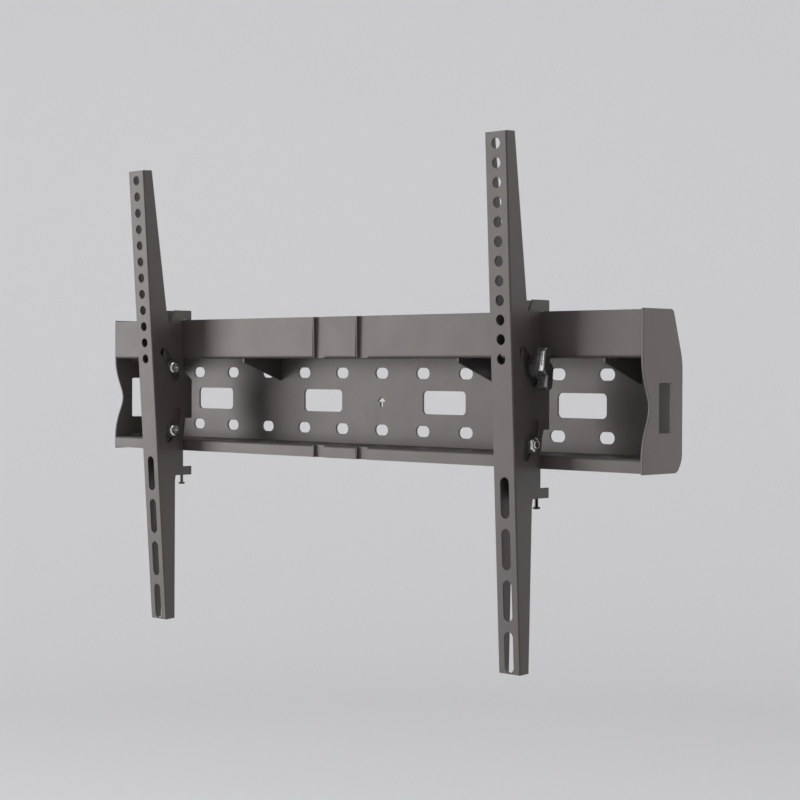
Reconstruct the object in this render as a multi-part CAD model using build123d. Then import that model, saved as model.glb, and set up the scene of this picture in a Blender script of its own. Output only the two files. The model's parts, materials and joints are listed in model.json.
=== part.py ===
from build123d import *
import os
from math import atan2, cos, degrees, hypot, radians, sin

# Tilting wall mount: a folded wall plate, two hook brackets that hang on its lips,
# and two upright rails that tilt in arc slots.
# Millimetres. X runs along the wall plate, +Y goes into the wall, +Z is up.
# The origin is on the wall face, at the middle of the plate.

# driving dimensions

# folded sheet
sheet = 2.0
bend_inside = 0.3

# wall plate
plate_length = 639.0
channel_height = 76.0
channel_depth = 50.0
top_lip_rise = 36.0
bottom_lip_drop = 10.6

# wall fixing slots
wall_slot_length = 16.0
wall_slot_width = 9.5
wall_slot_pitch = 50.0
wall_slots_per_side = 5
wall_slot_rows = 50.0

# cable windows
window_length = 50.0
window_height = 20.0
window_corner = 4.0
window_pitch = 150.0
windows_per_side = 2

# this-way-up arrow
arrow_height = 9.0
arrow_width = 10.0
arrow_head = 4.5
arrow_stem = 3.4

# pressed grooves in both lips
groove_width = 11.0
groove_depth = 5.0
groove_pitch = 53.7
groove_middle_x = -3.7

# gussets under the top flange
gusset_from_end = 36.5
gusset_pitch = 150.5
gusset_drop = 20.4
gusset_nose = 6.2
gusset_clip = 0.6

# end caps
cap_wall = 2.0
cap_hollow = 9.0
cap_top_run = 12.0
cap_corner = 6.0
cap_top_round = 4.0
cap_slope_blend = 50.0
cap_low_blend = 16.0
cap_low_round = 6.0
cap_edge_round = 0.8
cap_window_width = 16.0
cap_window_height = 38.0
cap_window_corner = 1.5
cap_window_from_wall = 14.0
cap_tongue = 12.0
cap_tongue_wall = 2.0
cap_tongue_inset = 3.0
cap_tongue_set_back = 20.0
cap_top_gap = 1.0

# tilt mechanism: bolts run on arcs about a line in front of the rails
pivot_ahead_of_bolts = 55.0
bolt_spacing = 58.5
bolt_ahead_of_lip = 15.0
tilt_limit = 12.0
right_tilt = 2.7
left_tilt = 3.85

# upright rails
rail_height = 418.0
rail_width = 22.0
rail_face_to_pivot = 34.0
rail_end_depth = 10.0
rail_taper_depth = 19.0
rail_flare_z = 80.0
rail_flare_corner = 20.0
rail_belly_angle = 29.0
rail_belly_rim = 6.2
rail_end_corner = 5.0
rail_bend_outside = 1.2
rail_bend_inside = 0.3
right_rail_x = 214.5
left_rail_x = -224.0

# fixing holes in the rails
screen_hole = 8.5
screen_hole_pitch = 15.0
screen_hole_count = 12
screen_hole_end = 9.0
screen_slot_length = 32.0
screen_slot_width = 9.0
screen_slot_pitch = 40.0
screen_slot_count = 4
screen_slot_end = 17.0

# hook brackets
hook_top = 9.0
hook_reach = 9.3
hook_leg = 5.0
hook_leg_drop = 8.0
nose_reach = 10.0
nose_height = 36.5
nose_slope = 8.0
notch_reach = 2.7
tail_drop = 23.2
tail_tab_height = 8.1
tail_tab_reach = 9.8
chin_cut = 12.0
brow_cut = 8.8
brow_drop = 16.4
brow_set_back = 4.7
bridge_ahead = 8.5
bridge_height = 82.0
edge_round = 1.0

# fasteners
bolt_diameter = 6.0
bolt_head = 10.4
bolt_head_height = 2.8
bolt_head_round = 1.6
bolt_tip = 0.5
recess_width = 1.1
recess_span = 5.4
recess_depth = 1.5
spacer_diameter = 10.0
bush_flange = 14.0
bush_flange_wall = 0.9
bush_edge = 0.4
bush_collar = 8.0
knob_washer = 16.0
nut_washer = 12.4
washer_wall = 1.2
nut_flats = 10.0
nut_height = 3.2
nut_crown = 0.9
nut_crown_width = 8.8
nut_crown_round = 0.5
bolt_past_nut = 0.8
bolt_in_knob = 11.5

# tilt knob
knob_hub = 15.0
knob_height = 15.2
knob_skirt = 5.6
knob_foot = 0.8
knob_bore_past_bolt = 1.0
knob_core = 11.0
wing_radius = 16.0
wing_thickness = 7.0
wing_off_axis = 2.5
wing_root = 2.0
wing_tip_round = 3.0
wing_edge = 1.0
knob_turn = -6.0

# lock screw under each hook bracket
lock_diameter = 3.0
lock_length = 30.0
lock_head = 6.2
lock_head_height = 1.7
lock_head_round = 0.85
lock_tip = 0.45
lock_slit = 0.8
lock_behind_lip = 3.0
lock_travel = 7.0

# named clearances
body_gap = 0.3
plate_to_rail_gap = 0.4
slot_clearance = 0.3
bolt_clearance = 0.05
hole_clearance = 0.15
bush_face_gap = 0.2

# derived places

half_channel = channel_height / 2
flange_outer = half_channel + sheet
lip_front = -channel_depth
lip_back = lip_front + sheet
plate_front = -sheet
lip_top = half_channel + top_lip_rise
lip_bottom = -half_channel - bottom_lip_drop
half_length = plate_length / 2
gusset_outer_x = half_length - gusset_from_end
gusset_inner_x = gusset_outer_x - gusset_pitch

bolt_y = lip_front - bolt_ahead_of_lip
bolt_z = bolt_spacing / 2
pivot_y = bolt_y - pivot_ahead_of_bolts
arc_radius = hypot(pivot_ahead_of_bolts, bolt_z)
arc_angle = degrees(atan2(bolt_z, pivot_ahead_of_bolts))
slot_width = bush_collar + 2 * slot_clearance
belly_radius = arc_radius + slot_width / 2 + rail_belly_rim

web_outer = rail_width / 2
web_inner = web_outer - sheet
cheek_outer = web_inner - plate_to_rail_gap
cheek_inner = cheek_outer - sheet

hang_y = lip_front - body_gap
bush_inner_face = web_outer + bush_face_gap
bush_outer_face = bush_inner_face + bush_flange_wall
washer_face = bush_outer_face + washer_wall
knob_face = washer_face + body_gap
tail_bottom = lip_bottom - tail_drop
lock_y = lip_back + lock_behind_lip
lock_seat = tail_bottom - lock_travel - body_gap


def cylinder_x(radius, x_from, x_to, y=0.0, z=0.0):
    """A round bar along X between two stations."""
    length = x_to - x_from
    return Pos((x_from + x_to) / 2, y, z) * Rot(0, 90, 0) * Cylinder(radius, length)


def block(x_from, x_to, y_from, y_to, z_from, z_to):
    """A box between two corners."""
    size = Box(x_to - x_from, y_to - y_from, z_to - z_from)
    return Pos((x_from + x_to) / 2, (y_from + y_to) / 2, (z_from + z_to) / 2) * size


def slab_x(face, x_from, x_to):
    """A profile drawn in Y and Z, as thick as the two stations say."""
    return extrude(Plane.YZ.offset(x_from) * face, x_to - x_from)


def slab_y(face, y_from, y_to):
    """A profile drawn in X and Z, cut along Y between two stations."""
    return extrude(Plane.XZ.offset(-y_to) * face, y_to - y_from)


# wall plate

def folded_hat():
    """The plate's section: lip up, top flange, back, bottom flange, lip down."""
    middle = sheet / 2
    bend = bend_inside + middle
    top = half_channel + middle
    points = [
        (lip_front + middle, lip_top),
        (lip_front + middle, top),
        (-middle, top),
        (-middle, -top),
        (lip_front + middle, -top),
        (lip_front + middle, lip_bottom),
    ]
    path = FilletPolyline(*points, radius=bend)
    return trace(path, line_width=sheet)


def lip_groove(x, z_from, z_to):
    """One pressed groove: the metal that leaves and the metal that comes."""
    half = groove_width / 2
    floor = lip_front + groove_depth
    away = block(x - half, x + half, lip_front - 1, floor, z_from, z_to)
    tray = block(x - half - sheet, x + half + sheet, lip_front, floor + sheet, z_from, z_to)
    return away, tray


def arrow():
    """Arrow that shows which way is up."""
    tip = arrow_height / 2
    shoulder = tip - arrow_head
    half = arrow_width / 2
    stem = arrow_stem / 2
    points = [
        (0, tip),
        (half, shoulder),
        (stem, shoulder),
        (stem, -tip),
        (-stem, -tip),
        (-stem, shoulder),
        (-half, shoulder),
    ]
    return make_face(Polyline(*points, close=True))


def wall_plate():
    body = slab_x(folded_hat(), -half_length, half_length)
    for side in (-1, 1):
        x = groove_middle_x + side * groove_pitch / 2
        upper = lip_groove(x, half_channel, lip_top)
        lower = lip_groove(x, lip_bottom, -half_channel)
        for away, tray in (upper, lower):
            body = body + tray - away
    slots = [
        Pos(n * wall_slot_pitch, side * wall_slot_rows / 2) * SlotOverall(wall_slot_length, wall_slot_width)
        for n in range(-wall_slots_per_side, wall_slots_per_side + 1)
        for side in (-1, 1)
    ]
    windows = [
        Pos((n + 0.5) * window_pitch, 0) * RectangleRounded(window_length, window_height, window_corner)
        for n in range(-windows_per_side, windows_per_side)
    ]
    for shape in slots + windows + [arrow()]:
        body -= slab_y(shape, -sheet - 1, 1)
    return body


def gusset(x):
    """Triangle welded under the top flange, from the lip to the back."""
    nose = lip_back + gusset_clip
    points = [
        (nose, half_channel),
        (nose, half_channel - gusset_nose),
        (plate_front, half_channel - gusset_drop),
        (plate_front, half_channel - gusset_clip),
        (plate_front - gusset_clip, half_channel),
    ]
    face = make_face(Polyline(*points, close=True))
    return slab_x(face, x - sheet / 2, x + sheet / 2)


# end caps

def cap_outline():
    """Side view of the moulded cap: hollow front edge, sloping top back edge."""
    top = lip_top + cap_top_gap
    bottom = lip_bottom - cap_top_gap
    slope_foot = half_channel - sheet
    back_low = -cap_corner
    with BuildSketch() as sketch:
        with BuildLine():
            Polyline(
                (lip_front, top),
                (-cap_top_run, top),
                (0, slope_foot),
                (0, -flange_outer),
                (back_low, bottom),
                (lip_front, bottom),
                (lip_front, -half_channel),
            )
            Spline(
                (lip_front, -half_channel),
                (lip_front + cap_hollow, 0),
                (lip_front, half_channel),
                tangents=((0, 1), (0, 1)),
            )
            Line((lip_front, half_channel), (lip_front, top))
        make_face()
        rounds = [
            (-cap_top_run, top, cap_top_round),
            (0, slope_foot, cap_slope_blend),
            (0, -flange_outer, cap_low_blend),
            (back_low, bottom, cap_low_round),
        ]
        for y, z, radius in rounds:
            corner = [v for v in sketch.vertices() if abs(v.X - y) < 0.01 and abs(v.Y - z) < 0.01]
            fillet(corner, radius)
    return sketch.sketch


def end_cap(side):
    """Cover for the open end of the channel, held by two tongues."""
    middle_y = -cap_window_from_wall - cap_window_width / 2
    wall = slab_x(cap_outline(), half_length, half_length + cap_wall)
    outside = wall.faces().sort_by(Axis.X)[-1]
    wall = fillet(outside.edges(), cap_edge_round)
    window = RectangleRounded(cap_window_width, cap_window_height, cap_window_corner)
    wall -= slab_x(Pos(middle_y, 0) * window, half_length - 1, half_length + cap_wall + 1)
    inner = half_length - cap_tongue
    tongue_front = lip_front + cap_tongue_set_back
    tongue_back = plate_front - bend_inside - cap_tongue_inset
    for up in (-1, 1):
        face = up * (half_channel - cap_tongue_wall / 2)
        low, high = face - cap_tongue_wall / 2, face + cap_tongue_wall / 2
        wall += block(inner, half_length, tongue_front, tongue_back, low, high)
    return wall if side > 0 else mirror(wall, Plane.YZ)


# upright rails
# Drawn upright about the pivot line: local Y is the distance behind the pivot.

def rail_side():
    """Side view of the rail: two tapers, a flare, and a belly round the pivot."""
    front = rail_face_to_pivot
    top = rail_height / 2
    belly_y = belly_radius * cos(radians(rail_belly_angle))
    belly_z = belly_radius * sin(radians(rail_belly_angle))
    with BuildSketch() as sketch:
        with BuildLine():
            Polyline(
                (front, -top),
                (front, top),
                (front + rail_end_depth, top),
                (front + rail_taper_depth, rail_flare_z),
                (belly_y, belly_z),
            )
            ThreePointArc((belly_y, belly_z), (belly_radius, 0), (belly_y, -belly_z))
            Polyline(
                (belly_y, -belly_z),
                (front + rail_taper_depth, -rail_flare_z),
                (front + rail_end_depth, -top),
                (front, -top),
            )
        make_face()
        behind = [v for v in sketch.vertices() if v.X > front + 1]
        flare = [v for v in behind if abs(abs(v.Y) - rail_flare_z) < 1]
        ends = [v for v in behind if abs(abs(v.Y) - top) < 1]
        fillet(flare, rail_flare_corner)
        fillet(ends, rail_end_corner)
    return sketch.sketch


def arc_slot(side):
    """Slot that follows the bolt about the pivot line."""
    start = side * arc_angle - tilt_limit
    path = CenterArc((0, 0), arc_radius, start, 2 * tilt_limit)
    return SlotArc(path, slot_width)


def tv_rail():
    front = rail_face_to_pivot
    top = rail_height / 2
    body = slab_x(rail_side(), -web_outer, web_outer)
    corners = body.edges().filter_by(Axis.Z).sort_by(Axis.Y)[:2]
    body = fillet(corners, rail_bend_outside)
    inside = block(-web_inner, web_inner, front + sheet, belly_radius + 1, -top - 1, top + 1)
    inner_corners = inside.edges().filter_by(Axis.Z).sort_by(Axis.Y)[:2]
    body -= fillet(inner_corners, rail_bend_inside)
    first = top - screen_hole_end
    for n in range(screen_hole_count):
        body -= slab_y(Pos(0, first - n * screen_hole_pitch) * Circle(screen_hole / 2), front - 1, front + sheet + 1)
    last = -top + screen_slot_end
    upright = Rot(0, 0, 90) * SlotOverall(screen_slot_length, screen_slot_width)
    for n in range(screen_slot_count):
        body -= slab_y(Pos(0, last + n * screen_slot_pitch) * upright, front - 1, front + sheet + 1)
    for side in (-1, 1):
        body -= slab_x(arc_slot(side), -web_outer - 1, web_outer + 1)
    return body


# hook brackets
# Drawn about the middle of the rail's width, in the plate's own Y and Z.

def bracket_cheek():
    """Side view of the bracket, from the hook down to the tail tab."""
    top = lip_top + hook_top
    back = hang_y + hook_reach + body_gap
    leg_front = back - hook_leg
    leg_foot = lip_top - hook_leg_drop
    nose_y = lip_front + nose_reach
    nose_z = nose_height / 2
    notch_y = hang_y + notch_reach
    notch_z = -half_channel + body_gap
    tab_top = tail_bottom + tail_tab_height
    tab_back = lip_front + tail_tab_reach
    front = bolt_y - bridge_ahead
    half_bridge = bridge_height / 2
    brow_y = front + brow_set_back
    brow_z = top - brow_drop
    points = [
        (brow_y + brow_cut, top),
        (back, top),
        (back, leg_foot),
        (leg_front, leg_foot),
        (leg_front, lip_top + body_gap),
        (hang_y, lip_top + body_gap),
        (hang_y, nose_z + nose_slope),
        (nose_y, nose_z),
        (nose_y, -nose_z),
        (notch_y, -nose_z),
        (hang_y, notch_z),
        (hang_y, tab_top),
        (tab_back, tab_top),
        (tab_back, tail_bottom),
        (front + chin_cut, tail_bottom),
        (brow_y, -brow_z),
        (front, -half_bridge),
        (front, half_bridge),
        (brow_y, brow_z),
    ]
    face = make_face(Polyline(*points, close=True))
    soft = [v for v in face.vertices() if abs(v.X - back) < 0.01 or abs(v.X - nose_y) < 0.01]
    face = fillet(soft, edge_round)
    return face


def hook_bracket():
    """U-section with two cheeks, a front bridge and a folded tail plate."""
    cheek = bracket_cheek()
    body = slab_x(cheek, -cheek_outer, -cheek_inner) + slab_x(cheek, cheek_inner, cheek_outer)
    front = bolt_y - bridge_ahead
    half_bridge = bridge_height / 2
    bridge = block(-cheek_outer, cheek_outer, front, front + sheet, -half_bridge, half_bridge)
    tail_front = front + chin_cut
    tail_back = lip_front + tail_tab_reach
    tail = block(-cheek_inner, cheek_inner, tail_front, tail_back, tail_bottom, tail_bottom + sheet)
    body = body + bridge + tail
    folds = [e for e in body.edges().filter_by(Axis.Z) if abs(e.center().Y - front) < 0.01]
    folds = [e for e in folds if abs(abs(e.center().X) - cheek_outer) < 0.01]
    body = fillet(folds, sheet)
    for side in (-1, 1):
        hole = bolt_diameter / 2 + hole_clearance
        body -= cylinder_x(hole, -cheek_outer - 1, cheek_outer + 1, bolt_y, side * bolt_z)
    thread = lock_diameter / 2 + bolt_clearance
    body -= Pos(0, lock_y, tail_bottom + sheet / 2) * Cylinder(thread, sheet * 3)
    return body


# tilt fasteners
# The bolt heads face the middle of the mount, the knob and nut face outwards.

def tilt_bolt(end_x):
    """Pan head bolt with a cross recess."""
    seat = -bush_outer_face
    head = cylinder_x(bolt_head / 2, seat - bolt_head_height, seat)
    dome = head.edges().filter_by(GeomType.CIRCLE).sort_by(Axis.X)[0]
    head = fillet(dome, bolt_head_round)
    outside = seat - bolt_head_height
    for a, b in ((recess_span, recess_width), (recess_width, recess_span)):
        head -= block(outside - 1, outside + recess_depth, -a / 2, a / 2, -b / 2, b / 2)
    shank = cylinder_x(bolt_diameter / 2, seat, end_x)
    tip = shank.edges().filter_by(GeomType.CIRCLE).sort_by(Axis.X)[-1]
    return head + chamfer(tip, bolt_tip)


def slot_bush(side):
    """Flanged bush: the collar runs in the rail's arc slot."""
    inner, face, outer = cheek_outer, bush_inner_face, bush_outer_face
    body = cylinder_x(bush_flange / 2, face, outer) + cylinder_x(bush_collar / 2, inner, face)
    body -= cylinder_x(bolt_diameter / 2 + bolt_clearance, inner - 1, outer + 1)
    rims = [e for e in body.edges().filter_by(GeomType.CIRCLE) if e.radius > bush_collar / 2 + bush_edge]
    body = fillet(ShapeList(rims).sort_by(Axis.X)[-1:], bush_edge)
    return body if side > 0 else mirror(body, Plane.YZ)


def spacer():
    """Tube that keeps the bracket's cheeks apart round the bolt."""
    tube = cylinder_x(spacer_diameter / 2, -cheek_inner, cheek_inner)
    return tube - cylinder_x(bolt_diameter / 2 + hole_clearance, -cheek_inner - 1, cheek_inner + 1)


def washer(diameter):
    """Flat washer on the outer side."""
    body = cylinder_x(diameter / 2, bush_outer_face, washer_face)
    return body - cylinder_x(bolt_diameter / 2 + hole_clearance, bush_outer_face - 1, washer_face + 1)


def lock_nut():
    """Thin hexagon nut with a round crown that holds the nylon ring."""
    hexagon = RegularPolygon(nut_flats / 2, 6, major_radius=False)
    body = slab_x(hexagon, washer_face, washer_face + nut_height - nut_crown)
    crown = cylinder_x(nut_crown_width / 2, washer_face, washer_face + nut_height)
    top = crown.edges().filter_by(GeomType.CIRCLE).sort_by(Axis.X)[-1]
    body += fillet(top, nut_crown_round)
    return body - cylinder_x(bolt_diameter / 2 + bolt_clearance, washer_face - 1, washer_face + nut_height + 1)


def tilt_knob():
    """Moulded wing knob: round skirt, two offset blades, blind bore for the bolt."""
    top = knob_face + knob_height
    wing_from = knob_face + knob_skirt
    hub = cylinder_x(knob_hub / 2, knob_face, wing_from)
    length = wing_radius + wing_root
    blade = Pos(-wing_off_axis, length / 2 - wing_root) * Rectangle(wing_thickness, length)
    tips = blade.vertices().sort_by(Axis.Y)[-2:]
    blade = fillet(tips, wing_tip_round)
    outline = blade + Rot(0, 0, 180) * blade + Circle(knob_core / 2)
    wings = slab_x(outline, wing_from, top)
    crest = wings.faces().sort_by(Axis.X)[-1]
    wings = fillet(crest.edges(), wing_edge)
    foot = hub.edges().filter_by(GeomType.CIRCLE).sort_by(Axis.X)[0]
    body = chamfer(foot, knob_foot) + wings
    body = Rot(X=knob_turn) * body
    bore_end = washer_face + bolt_in_knob + knob_bore_past_bolt
    return body - cylinder_x(bolt_diameter / 2 + bolt_clearance, knob_face - 1, bore_end)


def lock_screw():
    """Small screw that rises behind the bottom lip and stops the bracket lifting off."""
    seat = lock_seat
    shank = Pos(0, lock_y, seat + lock_length / 2) * Cylinder(lock_diameter / 2, lock_length)
    tip = shank.edges().filter_by(GeomType.CIRCLE).sort_by(Axis.Z)[-1]
    shank = chamfer(tip, lock_tip)
    head = Pos(0, lock_y, seat - lock_head_height / 2) * Cylinder(lock_head / 2, lock_head_height)
    low = head.edges().filter_by(GeomType.CIRCLE).sort_by(Axis.Z)[0]
    head = fillet(low, lock_head_round)
    half = lock_slit / 2
    floor = seat - lock_head_height
    slit = block(-lock_head, lock_head, lock_y - half, lock_y + half, floor - 1, floor + lock_slit)
    return shank + (head - slit)


# assembly

def carrier(side, rail_x, tilt):
    """Everything on one side, mirrored for the left."""
    at_upper = Pos(0, bolt_y, bolt_z)
    at_lower = Pos(0, bolt_y, -bolt_z)
    rail = Pos(0, pivot_y, 0) * Rot(X=tilt) * tv_rail()
    upper_end = washer_face + bolt_in_knob
    lower_end = washer_face + nut_height + bolt_past_nut
    pieces = {
        "tv_rail": rail,
        "hook_bracket": hook_bracket(),
        "upper_tilt_bolt": at_upper * tilt_bolt(upper_end),
        "lower_tilt_bolt": at_lower * tilt_bolt(lower_end),
        "upper_spacer": at_upper * spacer(),
        "lower_spacer": at_lower * spacer(),
        "upper_inner_bush": at_upper * slot_bush(-1),
        "upper_outer_bush": at_upper * slot_bush(1),
        "lower_inner_bush": at_lower * slot_bush(-1),
        "lower_outer_bush": at_lower * slot_bush(1),
        "knob_washer": at_upper * washer(knob_washer),
        "nut_washer": at_lower * washer(nut_washer),
        "tilt_knob": at_upper * tilt_knob(),
        "lock_nut": at_lower * lock_nut(),
        "lock_screw": lock_screw(),
    }
    name = "right" if side > 0 else "left"
    placed = {}
    for piece, shape in pieces.items():
        turned = shape if side > 0 else mirror(shape, Plane.YZ)
        placed[f"{name}_{piece}"] = Pos(rail_x, 0, 0) * turned
    return placed


def assembly():
    parts = {"wall_plate": wall_plate()}
    gusset_x = (-gusset_outer_x, -gusset_inner_x, gusset_inner_x, gusset_outer_x)
    for n, x in enumerate(gusset_x, 1):
        parts[f"gusset_{n}"] = gusset(x)
    parts["left_end_cap"] = end_cap(-1)
    parts["right_end_cap"] = end_cap(1)
    parts.update(carrier(1, right_rail_x, right_tilt))
    parts.update(carrier(-1, left_rail_x, left_tilt))
    return parts


os.makedirs("parts", exist_ok=True)
for node, shape in assembly().items():
    export_step(shape, f"parts/{node}.step")
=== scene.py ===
import json
from math import cos, pi, radians, sin

import bmesh
import bpy
from mathutils import Matrix, Vector


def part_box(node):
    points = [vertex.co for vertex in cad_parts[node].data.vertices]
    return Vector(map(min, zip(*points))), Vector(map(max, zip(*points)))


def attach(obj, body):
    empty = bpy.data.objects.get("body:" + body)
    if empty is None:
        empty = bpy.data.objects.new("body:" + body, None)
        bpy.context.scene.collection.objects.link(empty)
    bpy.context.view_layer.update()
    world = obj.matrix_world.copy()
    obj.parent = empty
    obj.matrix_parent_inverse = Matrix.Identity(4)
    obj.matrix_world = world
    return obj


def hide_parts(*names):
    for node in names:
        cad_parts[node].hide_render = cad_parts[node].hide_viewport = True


# A tilting wall mount, dressed over its measured solids.
# Metres. X runs along the wall plate, +Y goes into the wall, +Z is up.

MM = 0.001
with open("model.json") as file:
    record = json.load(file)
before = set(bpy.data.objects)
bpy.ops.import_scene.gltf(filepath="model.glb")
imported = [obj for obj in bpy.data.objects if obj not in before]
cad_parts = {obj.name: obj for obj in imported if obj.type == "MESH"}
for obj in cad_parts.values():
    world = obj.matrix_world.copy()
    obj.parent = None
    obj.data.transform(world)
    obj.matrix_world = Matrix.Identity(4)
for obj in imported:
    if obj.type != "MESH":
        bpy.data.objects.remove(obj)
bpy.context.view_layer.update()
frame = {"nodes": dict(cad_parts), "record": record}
nodes = frame["nodes"]

SIDES = ("left", "right")
OUTWARD = {"left": -1, "right": 1}
GUSSETS = range(1, 5)


# camera: the photograph's place, aim and lens

CAMERA_PLACE = Vector((1.1635, -1.1722, 0.0280))
CAMERA_AZIMUTH = radians(44.27)
CAMERA_PITCH = radians(-0.92)
CAMERA_ROLL = radians(0.25)
CAMERA_LENS = 84.36
SENSOR_WIDTH = 36
NEAREST, FARTHEST = 0.01, 50


def set_camera():
    az, pitch, roll = CAMERA_AZIMUTH, CAMERA_PITCH, CAMERA_ROLL
    ahead = Vector((-sin(az) * cos(pitch), cos(az) * cos(pitch), sin(pitch)))
    level = Vector((cos(az), sin(az), 0))
    above = level.cross(ahead)
    right = level * cos(roll) + above * sin(roll)
    up = above * cos(roll) - level * sin(roll)
    data = bpy.data.cameras.new("camera")
    data.lens = CAMERA_LENS
    data.sensor_width = SENSOR_WIDTH
    data.clip_start = NEAREST
    data.clip_end = FARTHEST
    camera = bpy.data.objects.new("camera", data)
    turn = Matrix((right, up, -ahead)).transposed().to_4x4()
    camera.matrix_world = Matrix.Translation(CAMERA_PLACE) @ turn
    bpy.context.scene.collection.objects.link(camera)
    bpy.context.scene.camera = camera


# light: a key from the front left, one from behind on the right, one from above

SKY_COLOUR = (0.97, 0.98, 1.0, 1)
SKY_STRENGTH = 0.57
WARM = (1.0, 0.975, 0.955)
MILD = (1.0, 0.98, 0.965)


def soft_box(name, place, aim, wide, high, power, tint=(1, 1, 1)):
    data = bpy.data.lights.new(name, "AREA")
    data.shape = "RECTANGLE"
    data.size = wide
    data.size_y = high
    data.energy = power
    data.color = tint
    lamp = bpy.data.objects.new(name, data)
    lamp.location = place
    lamp.rotation_euler = (Vector(aim) - Vector(place)).to_track_quat("-Z", "Y").to_euler()
    bpy.context.scene.collection.objects.link(lamp)


def light_studio():
    world = bpy.data.worlds.new("studio")
    bpy.context.scene.world = world
    world.use_nodes = True
    sky = world.node_tree.nodes["Background"]
    sky.inputs["Color"].default_value = SKY_COLOUR
    sky.inputs["Strength"].default_value = SKY_STRENGTH
    soft_box("key", (-3.30, -2.90, 0.20), (0, -0.05, 0), 2.0, 1.7, 124, WARM)
    soft_box("far_side", (2.0, 1.9, 0.6), (0, 0, 0), 2.0, 2.0, 14, MILD)
    soft_box("overhead", (0.2, -0.3, 2.6), (0, 0, 0), 2.2, 1.8, 20)
    bpy.context.scene.view_settings.view_transform = "Standard"


# studio bowl: a pale floor that curves up far away

FLOOR_Z = -0.90
FLOOR_REACH = 3.6
BOWL_RADIUS = 1.6
BOWL_STEPS = 16
BOWL_RIM = 2.0
AROUND = 96
PAPER = (0.79, 0.79, 0.80, 1)


def studio_floor():
    rings = [(FLOOR_REACH / 2, FLOOR_Z), (FLOOR_REACH, FLOOR_Z)]
    for n in range(1, BOWL_STEPS + 1):
        turn = (pi / 2) * n / BOWL_STEPS
        radius = FLOOR_REACH + BOWL_RADIUS * sin(turn)
        rings.append((radius, FLOOR_Z + BOWL_RADIUS * (1 - cos(turn))))
    rings.append((FLOOR_REACH + BOWL_RADIUS, FLOOR_Z + BOWL_RADIUS + BOWL_RIM))
    mesh = bpy.data.meshes.new("studio_floor")
    bm = bmesh.new()
    rows = []
    for radius, z in rings:
        row = []
        for k in range(AROUND):
            angle = 2 * pi * k / AROUND
            row.append(bm.verts.new((radius * cos(angle), radius * sin(angle), z)))
        rows.append(row)
    centre = bm.verts.new((0, 0, FLOOR_Z))
    for k in range(AROUND):
        bm.faces.new((centre, rows[0][k], rows[0][(k + 1) % AROUND]))
    for low, high in zip(rows, rows[1:]):
        for k in range(AROUND):
            following = (k + 1) % AROUND
            bm.faces.new((low[k], high[k], high[following], low[following]))
    bm.normal_update()
    bmesh.ops.recalc_face_normals(bm, faces=bm.faces)
    bmesh.ops.reverse_faces(bm, faces=bm.faces)
    bm.to_mesh(mesh)
    bm.free()
    for face in mesh.polygons:
        face.use_smooth = True
    floor = bpy.data.objects.new("studio_floor", mesh)
    bpy.context.scene.collection.objects.link(floor)
    paper = bpy.data.materials.new("studio_paper")
    paper.use_nodes = True
    shader = paper.node_tree.nodes["Principled BSDF"]
    shader.inputs["Base Color"].default_value = PAPER
    shader.inputs["Roughness"].default_value = 0.9
    mesh.materials.append(paper)


# materials

class Paint:
    """A node material and short calls to wire it."""

    def __init__(self, name):
        self.material = bpy.data.materials.new(name)
        self.material.use_nodes = True
        self.nodes = self.material.node_tree.nodes
        self.links = self.material.node_tree.links
        self.shader = self.nodes["Principled BSDF"]
        self.place = self.nodes.new("ShaderNodeTexCoord").outputs["Object"]

    def join(self, source, target):
        self.links.new(source, target)

    def speckle(self, scale, detail=2.0, roughness=0.5, stretch=None):
        """Noise by object place: scale is in patches for each metre."""
        node = self.nodes.new("ShaderNodeTexNoise")
        node.inputs["Scale"].default_value = scale
        node.inputs["Detail"].default_value = detail
        node.inputs["Roughness"].default_value = roughness
        source = self.place
        if stretch:
            mapping = self.nodes.new("ShaderNodeMapping")
            mapping.inputs["Scale"].default_value = stretch
            self.join(source, mapping.inputs["Vector"])
            source = mapping.outputs["Vector"]
        self.join(source, node.inputs["Vector"])
        return node.outputs["Fac"]

    def ramp(self, source, stops):
        node = self.nodes.new("ShaderNodeValToRGB")
        first, last = stops[0], stops[-1]
        node.color_ramp.elements[0].position = first[0]
        node.color_ramp.elements[0].color = (*first[1], 1)
        node.color_ramp.elements[1].position = last[0]
        node.color_ramp.elements[1].color = (*last[1], 1)
        for position, colour in stops[1:-1]:
            element = node.color_ramp.elements.new(position)
            element.color = (*colour, 1)
        self.join(source, node.inputs["Fac"])
        return node.outputs["Color"]

    def spread(self, source, low, high):
        """The middle range of a noise, stretched from low to high."""
        node = self.nodes.new("ShaderNodeMapRange")
        node.inputs["From Min"].default_value = 0.3
        node.inputs["From Max"].default_value = 0.7
        node.inputs["To Min"].default_value = low
        node.inputs["To Max"].default_value = high
        self.join(source, node.inputs["Value"])
        return node.outputs["Result"]

    def colour(self, source):
        self.join(source, self.shader.inputs["Base Color"])

    def roughness(self, source):
        self.join(source, self.shader.inputs["Roughness"])

    def surface(self, source):
        self.join(source, self.shader.inputs["Normal"])

    def multiply(self, one, two):
        """The product of two colours."""
        node = self.nodes.new("ShaderNodeMix")
        node.data_type = "RGBA"
        node.blend_type = "MULTIPLY"
        colours = [s for s in node.inputs if s.type == "RGBA"]
        share = [s for s in node.inputs if s.type == "VALUE"][0]
        share.default_value = 1.0
        self.join(one, colours[0])
        self.join(two, colours[1])
        return [s for s in node.outputs if s.type == "RGBA"][0]

    def bump(self, source, strength, distance, after=None):
        node = self.nodes.new("ShaderNodeBump")
        node.inputs["Strength"].default_value = strength
        node.inputs["Distance"].default_value = distance
        self.join(source, node.inputs["Height"])
        if after:
            self.join(after, node.inputs["Normal"])
        return node.outputs["Normal"]


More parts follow.
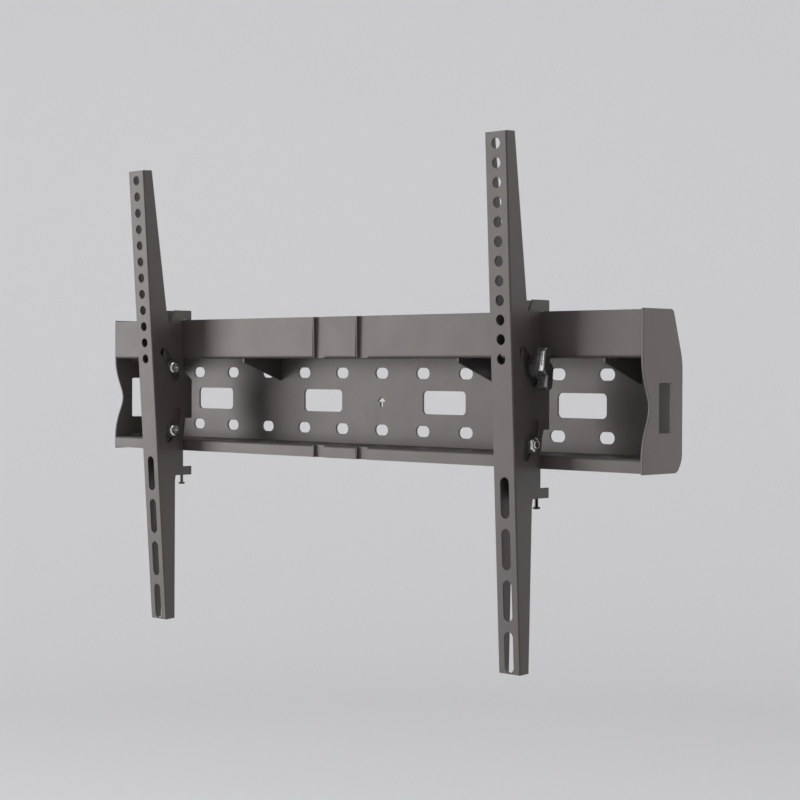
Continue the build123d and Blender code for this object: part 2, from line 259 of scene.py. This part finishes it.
def powder_coat():
    """Satin dark grey powder coat: orange peel, fine grain, slight uneven sheen."""
    paint = Paint("powder_coat")
    grain = paint.speckle(2600, 2.0)
    cloud = paint.speckle(14, 3.0)
    fine = paint.ramp(grain, [
        (0.30, (0.046, 0.0382, 0.0365)),
        (0.52, (0.059, 0.0493, 0.0470)),
        (0.74, (0.080, 0.0672, 0.0642)),
    ])
    tone = paint.ramp(cloud, [(0.30, (0.97, 0.97, 0.97)), (0.70, (1.03, 1.03, 1.02))])
    paint.colour(paint.multiply(fine, tone))
    paint.roughness(paint.spread(paint.speckle(55, 3.0), 0.49, 0.52))
    peel = paint.bump(paint.speckle(850, 2.0), 0.18, 0.20 * MM)
    paint.surface(paint.bump(grain, 0.10, 0.06 * MM, peel))
    return paint.material


def cap_plastic():
    """Moulded end cap: fine spark texture, drier than the coat."""
    paint = Paint("cap_plastic")
    grain = paint.speckle(1900, 3.0, 0.65)
    cloud = paint.speckle(18, 2.0)
    fine = paint.ramp(grain, [(0.32, (0.098, 0.087, 0.082)), (0.70, (0.145, 0.130, 0.123))])
    tone = paint.ramp(cloud, [(0.30, (0.95, 0.95, 0.95)), (0.70, (1.05, 1.05, 1.04))])
    paint.colour(paint.multiply(fine, tone))
    paint.roughness(paint.spread(grain, 0.50, 0.62))
    paint.surface(paint.bump(grain, 0.30, 0.12 * MM))
    return paint.material


def zinc(name, light, dark, rough):
    """Zinc plate: spangled tone, fine drag lines."""
    paint = Paint(name)
    spangle = paint.speckle(420, 3.0, 0.6)
    drag = paint.speckle(700, 2.0, 0.5, (1.0, 6.0, 6.0))
    paint.colour(paint.ramp(spangle, [(0.30, dark), (0.72, light)]))
    paint.shader.inputs["Metallic"].default_value = 1.0
    paint.roughness(paint.spread(drag, rough - 0.07, rough + 0.09))
    paint.surface(paint.bump(drag, 0.20, 0.04 * MM))
    return paint.material


def bush_nylon():
    """Plain moulded nylon with a faint skin."""
    paint = Paint("bush_nylon")
    skin = paint.speckle(1500, 3.0, 0.6)
    paint.colour(paint.ramp(skin, [(0.32, (0.024, 0.023, 0.022)), (0.72, (0.045, 0.043, 0.041))]))
    paint.roughness(paint.spread(paint.speckle(160, 2.0), 0.45, 0.58))
    paint.surface(paint.bump(skin, 0.16, 0.06 * MM))
    return paint.material


def knob_gloss():
    """Glossy dark moulding with a clear skin over a faint flow pattern."""
    paint = Paint("knob_gloss")
    flow = paint.speckle(240, 3.0, 0.6, (1.0, 1.0, 0.35))
    skin = paint.speckle(1100, 2.0)
    paint.colour(paint.ramp(flow, [(0.30, (0.026, 0.024, 0.022)), (0.72, (0.046, 0.042, 0.039))]))
    paint.roughness(paint.spread(flow, 0.24, 0.32))
    paint.shader.inputs["Specular IOR Level"].default_value = 0.9
    paint.shader.inputs["Coat Weight"].default_value = 1.0
    paint.shader.inputs["Coat Roughness"].default_value = 0.16
    paint.shader.inputs["Coat IOR"].default_value = 1.6
    paint.surface(paint.bump(skin, 0.12, 0.05 * MM))
    return paint.material


# sheet metal and moulded pieces: the solids with their edges broken

SAME_PLACE = 2e-6
ON_PLANE = 1e-6
FLAT_ANGLE = radians(0.6)
SHARP_ANGLE = radians(32)
BEVEL_SEGMENTS = 2


def whole_mesh(node, name, reshape=None):
    """A joined copy of a solid's mesh, its flat areas free of needless edges."""
    mesh = nodes[node].data.copy()
    mesh.name = name
    bm = bmesh.new()
    bm.from_mesh(mesh)
    bmesh.ops.remove_doubles(bm, verts=bm.verts, dist=SAME_PLACE)
    bmesh.ops.dissolve_limit(bm, angle_limit=FLAT_ANGLE, verts=bm.verts, edges=bm.edges)
    if reshape:
        reshape(bm)
        bmesh.ops.dissolve_limit(bm, angle_limit=FLAT_ANGLE, verts=bm.verts, edges=bm.edges)
    bm.to_mesh(mesh)
    bm.free()
    return mesh


def add_object(name, mesh, material):
    mesh.materials.clear()
    mesh.materials.append(material)
    thing = bpy.data.objects.new(name, mesh)
    bpy.context.scene.collection.objects.link(thing)
    return thing


def smooth_faces(mesh, angle=38):
    for face in mesh.polygons:
        face.use_smooth = True
    mesh.set_sharp_from_angle(angle=radians(angle))


def settle(thing):
    """The object's finished shape becomes its plain mesh, with no modifier left."""
    bpy.context.view_layer.update()
    graph = bpy.context.evaluated_depsgraph_get()
    finished = thing.evaluated_get(graph)
    made = bpy.data.meshes.new_from_object(
        finished, preserve_all_data_layers=True, depsgraph=graph
    )
    thing.modifiers.clear()
    thing.data = made


def broken_edges(node, name, material, width, reshape=None):
    """The node's shape with its sharp edges broken, standing for the node."""
    thing = add_object(name, whole_mesh(node, name, reshape), material)
    bevel = thing.modifiers.new("edges", "BEVEL")
    bevel.width = width
    bevel.segments = BEVEL_SEGMENTS
    bevel.limit_method = "ANGLE"
    bevel.angle_limit = SHARP_ANGLE
    settle(thing)
    smooth_faces(thing.data)
    weighted = thing.modifiers.new("weighted", "WEIGHTED_NORMAL")
    weighted.keep_sharp = True
    settle(thing)
    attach(thing, body_of(node))
    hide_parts(node)


def body_of(node):
    """The body of the record that a node belongs to."""
    bodies = frame["record"]["behaviour"]["bodies"]
    return next(body for body, members in bodies.items() if node in members)


def middle(node):
    low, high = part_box(node)
    return (Vector(low) + Vector(high)) / 2


class Shaping:
    """A Geometry Nodes tree with named sizes, run once and kept as a plain mesh."""

    def __init__(self, name):
        self.name = name
        self.tree = bpy.data.node_groups.new(name, "GeometryNodeTree")
        sockets = self.tree.interface
        sockets.new_socket("Places", in_out="INPUT", socket_type="NodeSocketGeometry")
        sockets.new_socket("Shape", in_out="OUTPUT", socket_type="NodeSocketGeometry")
        self.given = self.tree.nodes.new("NodeGroupInput")
        self.values = {}

    def size(self, label, value):
        """A named input of the tree, set to a value."""
        kind = "NodeSocketFloat"
        if isinstance(value, int):
            kind = "NodeSocketInt"
        if isinstance(value, tuple):
            kind = "NodeSocketVector"
        socket = self.tree.interface.new_socket(label, in_out="INPUT", socket_type=kind)
        self.values[socket.identifier] = value
        return self.given.outputs[label]

    def node(self, kind, inputs, **settings):
        """Adds a node with its inputs and settings, and gives back its first output."""
        node = self.tree.nodes.new(kind)
        for key, value in settings.items():
            setattr(node, key, value)
        for key, value in inputs.items():
            if isinstance(value, bpy.types.NodeSocket):
                self.tree.links.new(value, node.inputs[key])
            else:
                node.inputs[key].default_value = value
        return node.outputs[0]

    def run(self, shape, material, places=((0, 0, 0),)):
        """The tree's shape on an object that has a point at each place."""
        whole = self.node("GeometryNodeRealizeInstances", {"Geometry": shape})
        finished = self.node("GeometryNodeSetMaterial", {"Geometry": whole, "Material": material})
        result = self.tree.nodes.new("NodeGroupOutput")
        self.tree.links.new(finished, result.inputs["Shape"])
        points = bpy.data.meshes.new(self.name)
        points.from_pydata([tuple(p) for p in places], [], [])
        thing = bpy.data.objects.new(self.name, points)
        bpy.context.scene.collection.objects.link(thing)
        modifier = thing.modifiers.new("shape", "NODES")
        modifier.node_group = self.tree
        for identifier, value in self.values.items():
            modifier[identifier] = value
        settle(thing)
        thing.data.name = self.name
        return thing


# welds: short runs of overlapped drops where the gussets meet the top flange

WELD_DROP = 1.15 * MM
WELD_STEP = 1.0 * MM
WELD_DROPS = 11
WELD_STARTS = (-43.5 * MM, -14.5 * MM)
WELD_FLATTENING = (1.0, 0.85, 0.9)


def gusset_welds(coat):
    shape = Shaping("gusset_welds")
    run = shape.node("GeometryNodeMeshLine", {
        "Count": shape.size("Drops", WELD_DROPS),
        "Offset": shape.size("Step", (0.0, WELD_STEP, 0.0)),
    }, mode="OFFSET")
    drop = shape.node("GeometryNodeMeshIcoSphere", {
        "Radius": shape.size("Drop", WELD_DROP),
        "Subdivisions": 3,
    })
    flat = shape.node("GeometryNodeTransform", {"Geometry": drop, "Scale": WELD_FLATTENING})
    bead = shape.node("GeometryNodeInstanceOnPoints", {"Points": run, "Instance": flat})
    beads = shape.node("GeometryNodeInstanceOnPoints", {
        "Points": shape.given.outputs["Places"],
        "Instance": bead,
    })
    places = []
    for n in GUSSETS:
        low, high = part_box(f"gusset_{n}")
        for x in (low[0], high[0]):
            for y in WELD_STARTS:
                places.append((x, y, high[2]))
    welds = shape.run(beads, coat, places)
    smooth_faces(welds.data)
    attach(welds, "wall")


# tilt knobs

RIB_RADIUS = 0.42 * MM
RIB_LENGTH = 11.5 * MM
RIB_START = 1.6 * MM
RIB_PITCH = 2.3 * MM
RIB_COUNT = 3
RIB_FROM_TOP = 2.4 * MM
BLADE_FACE = 5.95 * MM
KNOB_TURN = radians(-6.0)


def knob_ribs(side, plastic):
    """Grip ribs on the outer face of both blades."""
    low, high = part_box(f"{side}_tilt_knob")
    axis = middle(f"{side}_tilt_knob")
    outward = OUTWARD[side]
    top = high[0] if outward > 0 else low[0]
    turn = Matrix.Rotation(KNOB_TURN, 3, "X")
    along = turn @ Vector((0, 0, RIB_LENGTH))
    places = []
    for n in range(RIB_COUNT):
        x = top - outward * (RIB_FROM_TOP + n * RIB_PITCH)
        for y, z in ((-BLADE_FACE, RIB_START), (BLADE_FACE, -RIB_START - RIB_LENGTH)):
            place = turn @ Vector((0, y, z))
            places.append((x, axis.y + place.y, axis.z + place.z))
    shape = Shaping(f"{side}_knob_ribs")
    line = shape.node("GeometryNodeCurvePrimitiveLine", {"End": shape.size("Along", tuple(along))})
    round_bar = shape.node("GeometryNodeCurvePrimitiveCircle", {
        "Resolution": 12,
        "Radius": shape.size("Rib", RIB_RADIUS),
    })
    rib = shape.node("GeometryNodeCurveToMesh", {
        "Curve": line,
        "Profile Curve": round_bar,
        "Fill Caps": True,
    })
    ribs = shape.node("GeometryNodeInstanceOnPoints", {
        "Points": shape.given.outputs["Places"],
        "Instance": rib,
    })
    thing = shape.run(ribs, plastic, places)
    smooth_faces(thing.data)
    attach(thing, f"{side}_knob")


# lock nuts: hexagon with turned corners, rolled crown, nylon ring

NUT_FLATS = 10.0
NUT_PROFILE = (
    (0.0, 5.15), (0.22, 5.50), (0.45, 5.90), (1.55, 5.90), (1.90, 5.30), (2.26, 4.70),
    (2.36, 4.42), (2.84, 4.40), (3.06, 4.28), (3.18, 4.06), (3.14, 3.80), (2.92, 3.62),
    (2.50, 3.58), (2.50, 3.04), (0.0, 3.04),
)
INSERT_PROFILE = (
    (2.45, 3.60), (2.86, 3.58), (2.98, 3.40), (2.94, 3.16), (2.80, 3.03), (2.45, 3.03),
)
NUT_STEPS = 72


def hexagon_reach(angle):
    """Distance from the middle of the nut to its side in one direction."""
    sixth = pi / 3
    return NUT_FLATS / 2 / cos((angle + sixth / 2) % sixth - sixth / 2)


def turned_ring(name, profile, face_x, outward, axis, material, hexagon=False):
    """A closed ring round an axis along X, from stations and radii in millimetres."""
    bm = bmesh.new()
    rows = []
    for station, radius in profile:
        row = []
        for k in range(NUT_STEPS):
            angle = 2 * pi * k / NUT_STEPS
            reach = min(radius, hexagon_reach(angle)) if hexagon else radius
            place = (
                face_x + outward * station * MM,
                axis.y + reach * MM * cos(angle),
                axis.z + reach * MM * sin(angle),
            )
            row.append(bm.verts.new(place))
        rows.append(row)
    for near, far in zip(rows, rows[1:] + rows[:1]):
        for k in range(NUT_STEPS):
            following = (k + 1) % NUT_STEPS
            bm.faces.new((near[k], far[k], far[following], near[following]))
    bmesh.ops.recalc_face_normals(bm, faces=bm.faces)
    mesh = bpy.data.meshes.new(name)
    bm.to_mesh(mesh)
    bm.free()
    thing = add_object(name, mesh, material)
    smooth_faces(mesh, angle=30)
    return thing


def lock_nut(side, zinc_finish, nylon):
    node = f"{side}_lock_nut"
    low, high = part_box(node)
    outward = OUTWARD[side]
    face_x = low[0] if outward > 0 else high[0]
    axis = middle(node)
    along = (face_x, outward, axis)
    nut = turned_ring(f"{side}_nut_shell", NUT_PROFILE, *along, zinc_finish, hexagon=True)
    insert = turned_ring(f"{side}_nut_insert", INSERT_PROFILE, *along, nylon)
    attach(nut, f"{side}_carrier")
    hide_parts(node)
    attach(insert, f"{side}_carrier")


# lock screws: the shank is cut down to its thread's root and a ridge winds round it

SCREW_RADIUS = 1.5 * MM
SCREW_ROOT = 1.22 * MM
SCREW_PITCH = 0.5 * MM
SCREW_RIDGE = 0.17 * MM
SCREW_HEAD = 1.7 * MM
SCREW_PLAIN = 0.4 * MM


def lock_screw(side, zinc_finish):
    node = f"{side}_lock_screw"
    low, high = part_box(node)
    axis = middle(node)
    seat = low[2] + SCREW_HEAD
    mesh = whole_mesh(node, f"{side}_screw_core")
    for vertex in mesh.vertices:
        away = Vector((vertex.co.x - axis.x, vertex.co.y - axis.y))
        if vertex.co.z > seat + SCREW_PLAIN and away.length > SCREW_ROOT:
            away *= SCREW_ROOT / away.length
            vertex.co.x, vertex.co.y = axis.x + away.x, axis.y + away.y
    core = add_object(f"{side}_screw_core", mesh, zinc_finish)
    smooth_faces(mesh)
    shape = Shaping(f"{side}_screw_thread")
    length = high[2] - seat - 2 * SCREW_PLAIN - SCREW_PITCH
    wind = SCREW_RADIUS - SCREW_RIDGE
    helix = shape.node("GeometryNodeCurveSpiral", {
        "Resolution": 20,
        "Rotations": shape.size("Turns", length / SCREW_PITCH),
        "Start Radius": shape.size("Foot radius", wind),
        "End Radius": shape.size("Tip radius", wind),
        "Height": shape.size("Length", length),
    })
    ridge = shape.node("GeometryNodeCurvePrimitiveCircle", {
        "Resolution": 4,
        "Radius": shape.size("Ridge", SCREW_RIDGE),
    })
    thread = shape.node("GeometryNodeCurveToMesh", {
        "Curve": helix,
        "Profile Curve": ridge,
        "Fill Caps": True,
    })
    foot = (axis.x, axis.y, seat + SCREW_PLAIN)
    placed = shape.node("GeometryNodeTransform", {
        "Geometry": thread,
        "Translation": shape.size("Foot", foot),
    })
    thread = shape.run(placed, zinc_finish)
    smooth_faces(thread.data)
    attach(core, f"{side}_lock")
    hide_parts(node)
    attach(thread, f"{side}_lock")


# grooves in both lips, in millimetres: the press leaves sloped walls and a shallow floor.
# The solid's grooves are square: CHEEK is half their width in front, TRAY half of it behind.

GROOVE_MIDDLES = (-30.55, 23.15)
CHEEK, TRAY = 5.5, 7.5
GROOVE_LIMIT = 7.6
LIP_FRONT = -50.0
OLD_FLOOR, NEW_FLOOR = -45.0, -47.0
OLD_BACK, NEW_BACK = -43.0, -45.0
WALL_BREAK = -47.7
FLOOR_LEFT, FLOOR_RIGHT = -3.1, 5.1
BACK_LEFT, BACK_RIGHT = -4.1, 6.1
BACK_INNER_LEFT, BACK_INNER_RIGHT = -3.0, 5.0
BEND_CORNER = 38.0
BEND_INSET = 0.67
NEAR = 0.05


def pressed_grooves(bm):
    """Sloped walls, a shallower floor and a mouth that is rounded into the bend."""
    cuts = [((0, WALL_BREAK * MM, 0), (0, 1, 0))]
    for centre in GROOVE_MIDDLES:
        for offset in (-TRAY, -CHEEK, CHEEK, TRAY):
            cuts.append((((centre + offset) * MM, 0, 0), (1, 0, 0)))
    for place, normal in cuts:
        whole = bm.verts[:] + bm.edges[:] + bm.faces[:]
        bmesh.ops.bisect_plane(bm, geom=whole, dist=ON_PLANE, plane_co=place, plane_no=normal)
    for vertex in bm.verts:
        x, y, z = vertex.co / MM
        centre = min(GROOVE_MIDDLES, key=lambda c: abs(x - c))
        offset = x - centre
        if abs(offset) > GROOVE_LIMIT or y > OLD_BACK + NEAR:
            continue
        right = offset > 0
        at_cheek = abs(abs(offset) - CHEEK) < NEAR
        at_tray = abs(abs(offset) - TRAY) < NEAR
        if abs(y - OLD_FLOOR) < NEAR and at_cheek:
            offset, y = (FLOOR_RIGHT if right else FLOOR_LEFT), NEW_FLOOR
        elif abs(y - OLD_BACK) < NEAR and at_tray:
            offset, y = (BACK_RIGHT if right else BACK_LEFT), NEW_BACK
        elif abs(y - OLD_BACK) < NEAR and at_cheek:
            offset, y = (BACK_INNER_RIGHT if right else BACK_INNER_LEFT), NEW_BACK
        elif abs(y - LIP_FRONT) < NEAR:
            if right and at_cheek:
                offset = TRAY
            if abs(abs(z) - BEND_CORNER) < NEAR:
                y = LIP_FRONT + BEND_INSET
                z += BEND_INSET if z > 0 else -BEND_INSET
        vertex.co = Vector((centre + offset, y, z)) * MM
    bmesh.ops.remove_doubles(bm, verts=bm.verts, dist=SAME_PLACE)
    bmesh.ops.dissolve_degenerate(bm, edges=bm.edges, dist=ON_PLANE)


GUSSET_NOSE_Z = 34.2 * MM


def cut_nose(bm):
    """A shorter front edge on a gusset."""
    front = min(v.co.y for v in bm.verts)
    for vertex in bm.verts:
        if vertex.co.y < front + MM and vertex.co.z < GUSSET_NOSE_Z:
            vertex.co.z = GUSSET_NOSE_Z


# the whole mount: a piece for each solid, and how wide its edges are broken

COAT_EDGE = 0.45 * MM
GUSSET_EDGE = 0.3 * MM
CAP_EDGE = 0.3 * MM
KNOB_EDGE = 0.35 * MM
TURNED_EDGE = 0.12 * MM
BUSH_EDGE = 0.08 * MM
WASHER_EDGE = 0.15 * MM


def dress():
    coat = powder_coat()
    cap = cap_plastic()
    bright = zinc("bright_zinc", (0.82, 0.81, 0.78), (0.58, 0.57, 0.55), 0.20)
    dark = zinc("dark_zinc", (0.13, 0.125, 0.12), (0.07, 0.067, 0.064), 0.36)
    nylon = bush_nylon()
    knob = knob_gloss()
    folded = ["wall_plate"] + [f"{s}_{n}" for s in SIDES for n in ("tv_rail", "hook_bracket")]
    for node in folded:
        reshape = pressed_grooves if node == "wall_plate" else None
        broken_edges(node, f"{node}_coated", coat, COAT_EDGE, reshape)
    for n in GUSSETS:
        node = f"gusset_{n}"
        broken_edges(node, f"{node}_coated", coat, GUSSET_EDGE, cut_nose)
    gusset_welds(coat)
    for s in SIDES:
        broken_edges(f"{s}_end_cap", f"{s}_end_cap_moulded", cap, CAP_EDGE)
        broken_edges(f"{s}_tilt_knob", f"{s}_knob_moulded", knob, KNOB_EDGE)
        knob_ribs(s, knob)
        lock_nut(s, bright, nylon)
        lock_screw(s, dark)
        for place in (f"{s}_upper", f"{s}_lower"):
            bolt = f"{place}_bolt_turned"
            broken_edges(f"{place}_tilt_bolt", bolt, bright, TURNED_EDGE)
            for bush in (f"{place}_inner_bush", f"{place}_outer_bush"):
                broken_edges(bush, f"{bush}_moulded", nylon, BUSH_EDGE)
            spacer = f"{place}_spacer"
            broken_edges(spacer, f"{spacer}_cut", bright, TURNED_EDGE)
        for washer in (f"{s}_knob_washer", f"{s}_nut_washer"):
            broken_edges(washer, f"{washer}_pressed", dark, WASHER_EDGE)


set_camera()
light_studio()
studio_floor()
dress()
